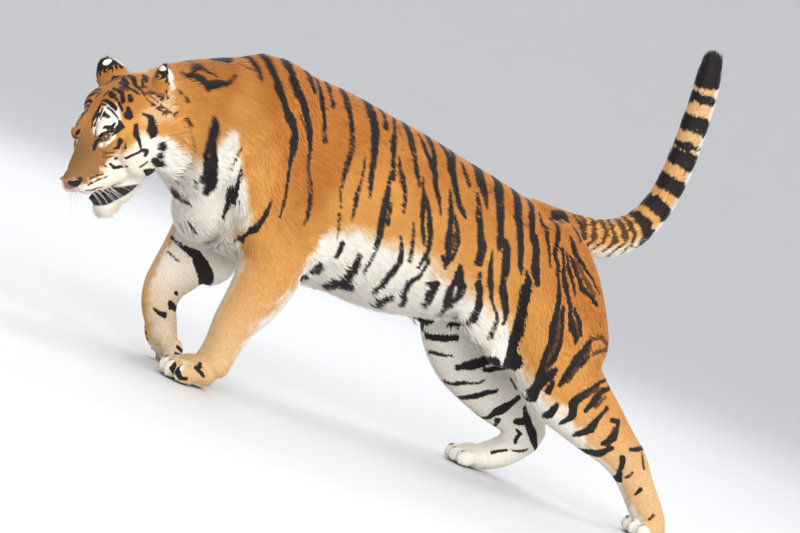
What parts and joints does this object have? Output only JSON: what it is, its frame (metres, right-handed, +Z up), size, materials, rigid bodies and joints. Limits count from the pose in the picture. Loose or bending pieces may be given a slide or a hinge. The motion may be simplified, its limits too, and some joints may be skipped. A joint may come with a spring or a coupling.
{
  "type": "tiger",
  "caption": "Life-size still tiger in mid-stride, striped winter coat, head turned and lowered, tail raised in a curve.",
  "frame": {"origin": "on the floor under the middle of the whole animal", "axes": "-X is the way the tiger faces, -Y is its left side, +Z is up"},
  "size_m": [2.2266, 0.4704, 1.441],
  "materials": {
    "coat": "dense winter fur, orange with black stripes and white underparts",
    "claw": "dark horn",
    "eye": "wet, amber iris with a round dark pupil",
    "nose_leather": "pink, damp, finely pebbled",
    "tongue": "wet pink flesh"
  },
  "bodies": {
    "root": {"claw_forepaw_left_1": "claw", "claw_forepaw_left_2": "claw", "claw_forepaw_left_3": "claw", "claw_forepaw_left_4": "claw", "claw_forepaw_right_1": "claw", "claw_forepaw_right_2": "claw", "claw_forepaw_right_3": "claw", "claw_forepaw_right_4": "claw", "claw_hindpaw_left_1": "claw", "claw_hindpaw_left_2": "claw", "claw_hindpaw_left_3": "claw", "claw_hindpaw_left_4": "claw", "claw_hindpaw_right_1": "claw", "claw_hindpaw_right_2": "claw", "claw_hindpaw_right_3": "claw", "claw_hindpaw_right_4": "claw", "ear_left": "coat", "ear_right": "coat", "eye_left": "eye", "eye_right": "eye", "forearm_left": "coat", "forearm_right": "coat", "forepaw_left": "coat", "forepaw_right": "coat", "head": "coat", "hindpaw_left": "coat", "hindpaw_right": "coat", "lower_jaw": "coat", "metatarsus_left": "coat", "metatarsus_right": "coat", "neck": "coat", "nose": "nose_leather", "shank_left": "coat", "shank_right": "coat", "shoulder_left": "coat", "shoulder_right": "coat", "tail_bend": "coat", "tail_root": "coat", "tail_tip": "coat", "tail_upper": "coat", "thigh_left": "coat", "thigh_right": "coat", "tongue": "tongue", "trunk": "coat"}
  },
  "joints": []
}
